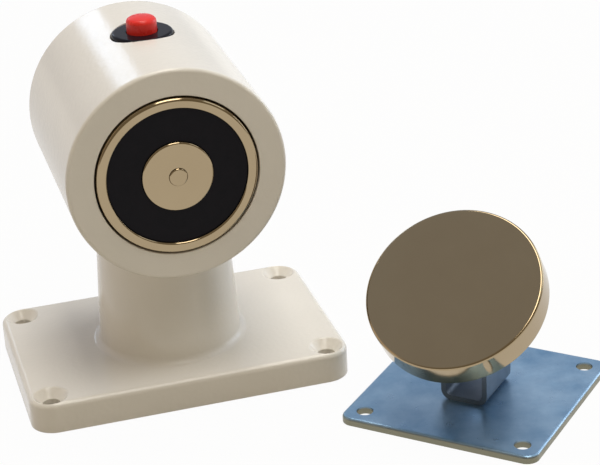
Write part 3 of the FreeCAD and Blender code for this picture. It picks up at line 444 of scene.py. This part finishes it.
def make_button():
    """The black bezel with its barrel, and the red cap with its stem."""
    well, guide = CAP_RADIUS + CAP_GAP, STEM_RADIUS + STEM_GAP
    profile = [(guide, -BARREL_ROOF), (CHAMBER_RADIUS, -BARREL_ROOF), (CHAMBER_RADIUS, -BARREL_LENGTH),
               (BARREL_RADIUS, -BARREL_LENGTH), (BARREL_RADIUS, 0), (BEZEL_RADIUS, 0)]
    profile += arc((BEZEL_RADIUS - BEZEL_EDGE, BEZEL_HEIGHT - BEZEL_EDGE), BEZEL_EDGE, 0, 90)
    profile += [(well, BEZEL_HEIGHT), (well, WELL_FLOOR), (guide, WELL_FLOOR)]
    dress(turn_ring("switch_body_black", profile, POCKET), "switch_body", "base")
    crown = BEZEL_HEIGHT + CAP_HEIGHT
    rim = CAP_RADIUS - CAP_EDGE
    shoulder = arc((rim, crown - CAP_CROWN - CAP_EDGE), CAP_EDGE, CAP_SHOULDER, 0)
    profile = [(0, crown), (rim / 2, crown - CAP_CROWN / 4)] + shoulder
    profile += [(CAP_RADIUS, BEZEL_HEIGHT - CAP_SKIRT), (STEM_RADIUS, BEZEL_HEIGHT - CAP_SKIRT),
                (STEM_RADIUS, -STEM_END), (0, -STEM_END)]
    dress(turn_profile("button_cap_red", profile, POCKET), "button_cap", "button")


def make_button_spring():
    """It stands between the switch's base and the contact bridge; the base is its fixed end."""
    foot = SPRING_SEAT - BARREL_LENGTH
    height = -STEM_END - BRIDGE_THICKNESS - foot
    place = POCKET @ moved(0, 0, foot)
    coil = wind_coil("button_spring_steel", BUTTON_COIL, BUTTON_WIRE, height, BUTTON_TURNS, place)
    dress(coil, "button_spring", "base")
    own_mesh(coil)


# Keeper

def make_plate():
    """The flat plate with four plain holes."""
    half = PLATE_SIDE / 2
    plate = block("keeper_plate_zinc", (-half, -half, 0), (half, half, PLATE_THICKNESS), ROW)
    bevel_edges(plate, lambda a, b: near(a.x, b.x) and near(a.y, b.y), PLATE_CORNER, 2 * ARC_STEPS)
    bevel_edges(plate, lambda a, b: near(a.z, PLATE_THICKNESS) and near(b.z, PLATE_THICKNESS), PLATE_EDGE)
    hole = rod(PLATE_HOLE_RADIUS, -PAST, PLATE_THICKNESS + PAST)
    cut_corners(plate, hole, PLATE_HOLE, PLATE_HOLE)
    settle(plate, KEEPER @ ROW.inverted())
    dress(plate, "keeper_plate", "base")


def fold_strip(name, width, depth, height, sheet, bend, crown, hole_height, place):
    """A strip folded to a U: its sides are pulled up, folds and crowns rounded, and the sheet thickened."""
    clear_selection()
    bpy.ops.mesh.primitive_plane_add(size=1)
    strip = begin(name)
    bpy.ops.transform.resize(value=(width * MM, depth * MM, 1))
    close()
    for side in (-1, 1):
        choose_edges(strip, lambda a, b: near(a.x, side * width / 2) and near(b.x, side * width / 2)
                     and near(a.z, 0) and near(b.z, 0))
        bpy.ops.mesh.extrude_region_move(TRANSFORM_OT_translate={"value": (0, 0, height * MM)})
        close()
    bevel_edges(strip, lambda a, b: near(a.z, 0) and near(b.z, 0) and near(a.x, b.x), bend)
    choose_edges(strip, lambda a, b: near(a.z, height) and near(b.z, height))
    bpy.context.tool_settings.mesh_select_mode = (True, False, False)
    bpy.ops.mesh.bevel(offset=crown * MM, segments=2 * ARC_STEPS, profile=ROUND_PROFILE, affect="VERTICES")
    bpy.ops.mesh.select_all(action="SELECT")
    bpy.ops.mesh.normals_make_consistent(inside=False)
    close()
    thickness = strip.modifiers.new("sheet", "SOLIDIFY")
    thickness.thickness = sheet * MM
    thickness.offset = -1
    thickness.use_even_offset = True
    bpy.ops.object.modifier_apply(modifier=thickness.name)
    reach = width / 2 + PAST
    hole = rod(HINGE_HOLE, -reach, reach)
    across = ROW @ moved(0, 0, hole_height) @ turned(90, "Y")
    combine(strip, turn_profile("hole", hole, across, SMALL_TURN_STEPS), "DIFFERENCE")
    return settle(strip, place @ ROW.inverted())


def make_bracket():
    """The folded bracket that stands on the plate."""
    height = HINGE_Z + HINGE_TO_TOP - PLATE_THICKNESS
    place = KEEPER @ moved(0, 0, PLATE_THICKNESS)
    bracket = fold_strip("keeper_bracket_zinc", BRACKET_WIDTH, BRACKET_DEPTH, height, BRACKET_SHEET,
                         BRACKET_BEND, BRACKET_ROUND, HINGE_Z - PLATE_THICKNESS, place)
    dress(bracket, "keeper_bracket", "base", ZINC_IN_SHADE)


def make_yoke():
    """The folded yoke that carries the disc and tilts inside the bracket."""
    place = TILTED @ moved(0, 0, YOKE_FACE) @ turned(180, "X")
    yoke = fold_strip("tilt_yoke_zinc", YOKE_WIDTH, YOKE_DEPTH, YOKE_FACE + YOKE_TAIL, YOKE_SHEET,
                      YOKE_BEND, YOKE_ROUND, YOKE_FACE, place)
    screw_hole = rod(SCREW_HOLE, YOKE_FACE - 2 * YOKE_SHEET, DISC_BACK)
    combine(yoke, turn_profile("hole", screw_hole, TILTED, SMALL_TURN_STEPS), "DIFFERENCE")
    dress(yoke, "tilt_yoke", "keeper_head", ZINC_IN_SHADE)


def make_hinge_pin():
    """The riveted pin across bracket and yoke."""
    half = BRACKET_WIDTH / 2
    reach = half + HINGE_HEAD_LENGTH
    rim = HINGE_HEAD - HINGE_HEAD_EDGE
    low = arc((rim, HINGE_HEAD_EDGE - reach), HINGE_HEAD_EDGE, -90, 0)
    high = arc((rim, reach - HINGE_HEAD_EDGE), HINGE_HEAD_EDGE, 0, 90)
    shank = [(HINGE_HEAD, -half), (HINGE_PIN, -half), (HINGE_PIN, half), (HINGE_HEAD, half)]
    profile = [(0, -reach)] + low + shank + high + [(0, reach)]
    pin = turn_profile("hinge_pin_zinc", profile, ACROSS, SMALL_TURN_STEPS)
    dress(pin, "hinge_pin", "base", ZINC_IN_SHADE)


def make_disc():
    """The round disc that the magnet holds, and the rubber washer behind it."""
    rim = DISC_RADIUS - DISC_EDGE
    floor = DISC_BACK + SCREW_THREAD_DEPTH
    profile = [(0, floor), (SCREW_THREAD_HOLE, floor), (SCREW_THREAD_HOLE, DISC_BACK)]
    profile += arc((rim, DISC_BACK + DISC_EDGE), DISC_EDGE, -90, 0)
    profile += arc((rim, DISC_REACH - DISC_EDGE), DISC_EDGE, 0, 90)
    profile += [(0, DISC_REACH)]
    dress(turn_profile("armature_disc_nickel", profile, TILTED), "armature_disc", "keeper_head")
    ring = tube(SCREW_HOLE, RUBBER_RADIUS, YOKE_FACE, DISC_BACK)
    washer = turn_ring("rubber_washer_black", ring, TILTED, SMALL_TURN_STEPS)
    dress(washer, "rubber_washer", "keeper_head")


# Finishes: every pattern lies on the piece's own coordinates, its scale in features to the metre

SPAN = (0.3, 0.7)
PAINT_LOW, PAINT_HIGH, PAINT_CLOUDS = (0.765, 0.725, 0.655), (0.795, 0.755, 0.685), 40
PAINT_ROUGHNESS, PEEL_SCALE, PEEL_SPAN = (0.18, 0.22), 700, (0.35, 0.65)
PEEL_STRENGTH, PEEL_DEPTH = 0.4, 0.0001
NICKEL_LOW, NICKEL_HIGH, NICKEL_CLOUDS = (0.37, 0.285, 0.175), (0.385, 0.3, 0.186), 60
NICKEL_ROUGHNESS, NICKEL_WEAR = (0.07, 0.12), 300
# The third colour here is painted shade for the plate's sides, darker and warmer than its top.
ZINC_LOW, ZINC_HIGH, ZINC_SIDE_SHADE = (0.17, 0.32, 0.5), (0.38, 0.55, 0.72), (0.24, 0.23, 0.165)
ZINC_METAL, ZINC_ROUGHNESS = 0.75, 0.27
# A darker, duller, less metallic copy of the plate's zinc for the bracket, yoke and hinge pin: painted shade.
ZINC_SHADE_LOW, ZINC_SHADE_HIGH, ZINC_SHADE_METAL, ZINC_SHADE_ROUGHNESS = (0.09, 0.13, 0.19), (0.17, 0.215, 0.275), 0.35, 0.42
ZINC_CLOUDS, ZINC_SPAN, ZINC_GRAIN, ZINC_ROUGHNESS_RANGE = 55, (0.3, 0.72), 260, 0.14
SCRATCH_SCALE, SCRATCH_STRETCH, SCRATCH_STRENGTH, SCRATCH_DEPTH = 90, (1, 14, 1), 0.12, 0.0002
# Where the painted shade on the plate's sides begins and ends below its upper edge, as shares of that edge's
# rounding.
SIDE_SHADE_START, SIDE_SHADE_END = 0.8, 0.1
METAL_GRAIN, GRAIN_ROUGHNESS_RANGE = 500, 0.08
PLAIN_GLOSS, POTTING_GLOSS, BEZEL_GLOSS, CAP_GLOSS = 0.5, 0.12, 0.12, 0.3

# Moulded pieces: darker and lighter colour, roughness, scale of the grain and, where it isn't plain, gloss
MOULDED = {
    "black_potting": ((0.005, 0.0045, 0.0065), (0.009, 0.008, 0.011), 0.5, 300, POTTING_GLOSS),
    "black_plastic": ((0.006, 0.006, 0.009), (0.01, 0.01, 0.014), 0.12, 200, BEZEL_GLOSS),
    "red_plastic": ((0.72, 0.026, 0.018), (0.80, 0.034, 0.024), 0.24, 250, CAP_GLOSS),
    "black_rubber": ((0.02, 0.02, 0.02), (0.035, 0.035, 0.035), 0.6, 600),
    "bobbin_plastic": ((0.72, 0.66, 0.5), (0.8, 0.74, 0.6), 0.4, 300),
    "brown_laminate": ((0.22, 0.1, 0.04), (0.3, 0.15, 0.07), 0.45, 300),
    "block_plastic": ((0.72, 0.72, 0.68), (0.8, 0.8, 0.76), 0.4, 300),
    "red_insulation": ((0.5, 0.03, 0.025), (0.6, 0.05, 0.04), 0.4, 400),
    "black_insulation": ((0.015, 0.015, 0.015), (0.03, 0.03, 0.03), 0.4, 400),
    "nylon": ((0.7, 0.7, 0.66), (0.8, 0.8, 0.76), 0.4, 300),
}

# Small bare metal pieces: darker and lighter colour, and roughness
BARE_METAL = {
    "copper_wire": ((0.55, 0.24, 0.1), (0.7, 0.34, 0.16), 0.3),
    "spring_steel": ((0.4, 0.4, 0.42), (0.55, 0.55, 0.57), 0.25),
    "screw_steel": ((0.48, 0.49, 0.5), (0.62, 0.62, 0.63), 0.28),
    "brass_parts": ((0.66, 0.46, 0.18), (0.78, 0.58, 0.28), 0.25),
}


def new_finish(name, metal=0):
    """A new material, its node tree and its shader."""
    material = bpy.data.materials.new(name)
    material.use_nodes = True
    tree = material.node_tree
    shader = tree.nodes["Principled BSDF"]
    shader.inputs["Metallic"].default_value = metal
    return material, tree, shader


def pattern(tree, scale, stretch=(1, 1, 1), **settings):
    """A cloudy texture on the piece's own coordinates."""
    coordinates = tree.nodes.new("ShaderNodeTexCoord")
    mapping = tree.nodes.new("ShaderNodeMapping")
    mapping.inputs["Scale"].default_value = stretch
    texture = tree.nodes.new("ShaderNodeTexNoise")
    texture.inputs["Scale"].default_value = scale
    for name, size in settings.items():
        texture.inputs[name].default_value = size
    tree.links.new(coordinates.outputs["Object"], mapping.inputs["Vector"])
    tree.links.new(mapping.outputs["Vector"], texture.inputs["Vector"])
    return texture.outputs["Fac"]


def ramp(tree, source, low, high, span=SPAN):
    """Two colours laid over a texture's values."""
    node = tree.nodes.new("ShaderNodeValToRGB")
    for element, position, colour in zip(node.color_ramp.elements, span, (low, high)):
        element.position = position
        element.color = (*colour, 1)
    tree.links.new(source, node.inputs["Fac"])
    return node.outputs["Color"]


def roughen(tree, shader, source, low, high, span=SPAN):
    """A roughness that varies with a texture's values."""
    level = ramp(tree, source, (low, low, low), (high, high, high), span)
    tree.links.new(level, shader.inputs["Roughness"])


def bump(tree, shader, height, strength, depth):
    """A fine relief that a texture gives the surface."""
    node = tree.nodes.new("ShaderNodeBump")
    node.inputs["Strength"].default_value = strength
    node.inputs["Distance"].default_value = depth
    tree.links.new(height, node.inputs["Height"])
    tree.links.new(node.outputs["Normal"], shader.inputs["Normal"])


def paint_finish(name):
    """Warm white powder coat with a fine orange peel."""
    material, tree, shader = new_finish(name)
    clouds = pattern(tree, PAINT_CLOUDS, Detail=2)
    tree.links.new(ramp(tree, clouds, PAINT_LOW, PAINT_HIGH), shader.inputs["Base Color"])
    peel = pattern(tree, PEEL_SCALE, Detail=0)
    bump(tree, shader, peel, PEEL_STRENGTH, PEEL_DEPTH)
    roughen(tree, shader, peel, *PAINT_ROUGHNESS, PEEL_SPAN)
    return material


def nickel_finish(name):
    """Nickel plating over turned steel, with faint wear."""
    material, tree, shader = new_finish(name, metal=1)
    clouds = pattern(tree, NICKEL_CLOUDS, Detail=3)
    tree.links.new(ramp(tree, clouds, NICKEL_LOW, NICKEL_HIGH), shader.inputs["Base Color"])
    roughen(tree, shader, pattern(tree, NICKEL_WEAR, Detail=4), *NICKEL_ROUGHNESS)
    return material


def shade_sides(tree, tone, side):
    """The plate's colour with painted shade on its cut sides: a darker, warmer colour below the upper edge.
    """
    coordinates = tree.nodes.new("ShaderNodeTexCoord")
    height = tree.nodes.new("ShaderNodeSeparateXYZ")
    tree.links.new(coordinates.outputs["Object"], height.inputs["Vector"])
    level = tree.nodes.new("ShaderNodeMapRange")
    level.inputs["From Min"].default_value = (PLATE_THICKNESS - SIDE_SHADE_START * PLATE_EDGE) * MM
    level.inputs["From Max"].default_value = (PLATE_THICKNESS - SIDE_SHADE_END * PLATE_EDGE) * MM
    tree.links.new(height.outputs["Z"], level.inputs["Value"])
    mix = tree.nodes.new("ShaderNodeMix")
    mix.data_type = "RGBA"
    tree.links.new(level.outputs["Result"], mix.inputs["Factor"])
    mix.inputs["A"].default_value = (*side, 1)
    tree.links.new(tone, mix.inputs["B"])
    return mix.outputs["Result"]


def zinc_finish(name, low, high, metal, roughness, side=None):
    """Blue passivated zinc on pressed steel: cloudy, with faint scratches and, where given, painted shade on
    its sides.
    """
    material, tree, shader = new_finish(name, metal)
    clouds = pattern(tree, ZINC_CLOUDS, Detail=5, Roughness=0.6)
    tone = ramp(tree, clouds, low, high, ZINC_SPAN)
    if side is not None:
        tone = shade_sides(tree, tone, side)
    tree.links.new(tone, shader.inputs["Base Color"])
    grain = pattern(tree, ZINC_GRAIN, Detail=4)
    roughen(tree, shader, grain, roughness, roughness + ZINC_ROUGHNESS_RANGE)
    scratches = pattern(tree, SCRATCH_SCALE, SCRATCH_STRETCH, Detail=6)
    bump(tree, shader, scratches, SCRATCH_STRENGTH, SCRATCH_DEPTH)
    return material


def moulded_finish(name, low, high, roughness, scale, gloss=PLAIN_GLOSS, metal=0):
    """A piece with a fine grain."""
    material, tree, shader = new_finish(name, metal)
    shader.inputs["Specular IOR Level"].default_value = gloss
    grain = pattern(tree, scale, Detail=3)
    tree.links.new(ramp(tree, grain, low, high), shader.inputs["Base Color"])
    roughen(tree, shader, grain, roughness, roughness + GRAIN_ROUGHNESS_RANGE)
    return material


FINISHES = {name: moulded_finish(name, *look) for name, look in MOULDED.items()}
for name, look in BARE_METAL.items():
    FINISHES[name] = moulded_finish(name, *look, METAL_GRAIN, metal=1)
FINISHES["white_paint"] = paint_finish("white_paint")
FINISHES["nickel_plate"] = nickel_finish("nickel_plate")
# The plate's finish carries painted shade on its sides.
FINISHES["zinc_plate"] = zinc_finish("zinc_plate", ZINC_LOW, ZINC_HIGH, ZINC_METAL, ZINC_ROUGHNESS, ZINC_SIDE_SHADE)
# The bracket, yoke and hinge pin wear this darker copy of the plate's zinc, which is painted shade.
ZINC_IN_SHADE = zinc_finish("zinc_in_shade", ZINC_SHADE_LOW, ZINC_SHADE_HIGH, ZINC_SHADE_METAL, ZINC_SHADE_ROUGHNESS)
SLOTS = {part["node"]: part["material_slot"] for part in frame["record"]["subparts"]}


def dress_frame():
    """Give every CAD node the finish of its slot."""
    for node, item in frame["nodes"].items():
        item.data.materials.clear()
        item.data.materials.append(FINISHES[SLOTS[node]])


# Stage: a pale floor, a bright window behind, soft light from above and both sides, and a plain room

FLOOR_SIDE, FLOOR_DROP = 8, 0.0002
FLOOR_WHITE, FLOOR_ROUGHNESS = 0.97, 0.9
FLOOR_COLOUR = (0.50, 0.46, 0.38)
ROOM_FRONT, ROOM_BACK = (0.28, 0.24, 0.176), (0.48, 0.51, 0.58)


def larger(tree, first, second):
    """The larger of two values."""
    node = tree.nodes.new("ShaderNodeMath")
    node.operation = "MAXIMUM"
    tree.links.new(first, node.inputs[0])
    tree.links.new(second, node.inputs[1])
    return node.outputs[0]


def make_floor():
    """A plane that the camera and shiny pieces see almost white, and that still takes the shadow."""
    clear_selection()
    bpy.ops.mesh.primitive_plane_add(size=FLOOR_SIDE, location=(0, 0, -FLOOR_DROP))
    floor = bpy.context.object
    floor.name = "floor"
    material, tree, shader = new_finish("pale_floor")
    shader.inputs["Base Color"].default_value = (*FLOOR_COLOUR, 1)
    shader.inputs["Roughness"].default_value = FLOOR_ROUGHNESS
    glow = tree.nodes.new("ShaderNodeEmission")
    path = tree.nodes.new("ShaderNodeLightPath")
    seen = larger(tree, path.outputs["Is Camera Ray"], path.outputs["Is Transmission Ray"])
    seen = larger(tree, seen, path.outputs["Is Glossy Ray"])
    share = tree.nodes.new("ShaderNodeMath")
    share.operation = "MULTIPLY"
    share.inputs[1].default_value = FLOOR_WHITE
    tree.links.new(seen, share.inputs[0])
    mix = tree.nodes.new("ShaderNodeMixShader")
    tree.links.new(share.outputs[0], mix.inputs["Fac"])
    tree.links.new(shader.outputs["BSDF"], mix.inputs[1])
    tree.links.new(glow.outputs["Emission"], mix.inputs[2])
    tree.links.new(mix.outputs["Shader"], tree.nodes["Material Output"].inputs["Surface"])
    floor.data.materials.append(material)


def make_lamp(name, place, target, size, power, colour):
    """A rectangular lamp that faces a point: lengths in metres, power in watts."""
    light = bpy.data.lights.new(name, "AREA")
    light.shape = "RECTANGLE"
    light.size, light.size_y = size
    light.energy = power
    light.color = colour
    lamp = bpy.data.objects.new(name, light)
    bpy.context.scene.collection.objects.link(lamp)
    lamp.location = place
    lamp.rotation_euler = (Vector(target) - Vector(place)).to_track_quat("-Z", "Y").to_euler()


def make_room():
    """A room that is warm in front and bluer behind, with its lamps."""
    world = bpy.data.worlds.new("room")
    bpy.context.scene.world = world
    world.use_nodes = True
    tree = world.node_tree
    background = tree.nodes["Background"]
    direction = tree.nodes.new("ShaderNodeTexCoord")
    parts = tree.nodes.new("ShaderNodeSeparateXYZ")
    tree.links.new(direction.outputs["Generated"], parts.inputs["Vector"])
    depth = tree.nodes.new("ShaderNodeMapRange")
    depth.inputs["From Min"].default_value = -1
    depth.inputs["From Max"].default_value = 1
    tree.links.new(parts.outputs["Y"], depth.inputs["Value"])
    colour = ramp(tree, depth.outputs["Result"], ROOM_FRONT, ROOM_BACK)
    tree.links.new(colour, background.inputs["Color"])
    background.inputs["Strength"].default_value = 1
    make_lamp("window", (-0.19, 1.6, 0.67), (0, 0, 0.11), (0.3, 0.26), 0.8, (0.66, 0.8, 1))
    make_lamp("soft_top", (0.15, -0.05, 1.35), (0.03, -0.05, 0.05), (1.4, 0.55), 12.2, (1, 0.965, 0.89))
    make_lamp("soft_right", (1.1, -0.1, 0.95), (0.03, -0.1, 0.05), (1.2, 0.5), 2.2, (0.82, 0.91, 1))
    make_lamp("low_right", (1.2, 0.25, 0.3), (0.03, -0.02, 0.05), (0.8, 0.4), 3.2, (0.78, 0.88, 1))
    make_lamp("soft_left", (-1.3, 0.4, 0.6), (0.03, -0.02, 0.05), (1.2, 1.2), 1.8, (1, 0.66, 0.3))
    make_lamp("edge_light", (0.1, -0.9, 1.3), (0.02, -0.04, 0.03), (0.5, 0.12), 0.6, (1, 0.97, 0.92))


def make_camera():
    """The photograph's camera."""
    camera = bpy.data.objects.new("camera", bpy.data.cameras.new("camera"))
    bpy.context.scene.collection.objects.link(camera)
    camera.data.lens = CAMERA_LENS
    camera.data.sensor_width = CAMERA_SENSOR
    camera.data.clip_start = CAMERA_NEAR
    right, up, back = Vector(CAMERA_RIGHT), -Vector(CAMERA_DOWN), -Vector(CAMERA_FORWARD)
    turn = Matrix((right, up, back)).transposed().to_4x4()
    camera.matrix_world = Matrix.Translation(Vector(CAMERA_PLACE) * MM) @ turn
    bpy.context.scene.camera = camera


dress_frame()
make_housing()
make_magnet()
make_ejector()
make_ejector_spring()
make_button()
make_button_spring()
make_plate()
make_bracket()
make_yoke()
make_hinge_pin()
make_disc()
make_floor()
make_room()
make_camera()
bpy.context.scene.view_settings.view_transform = "Standard"
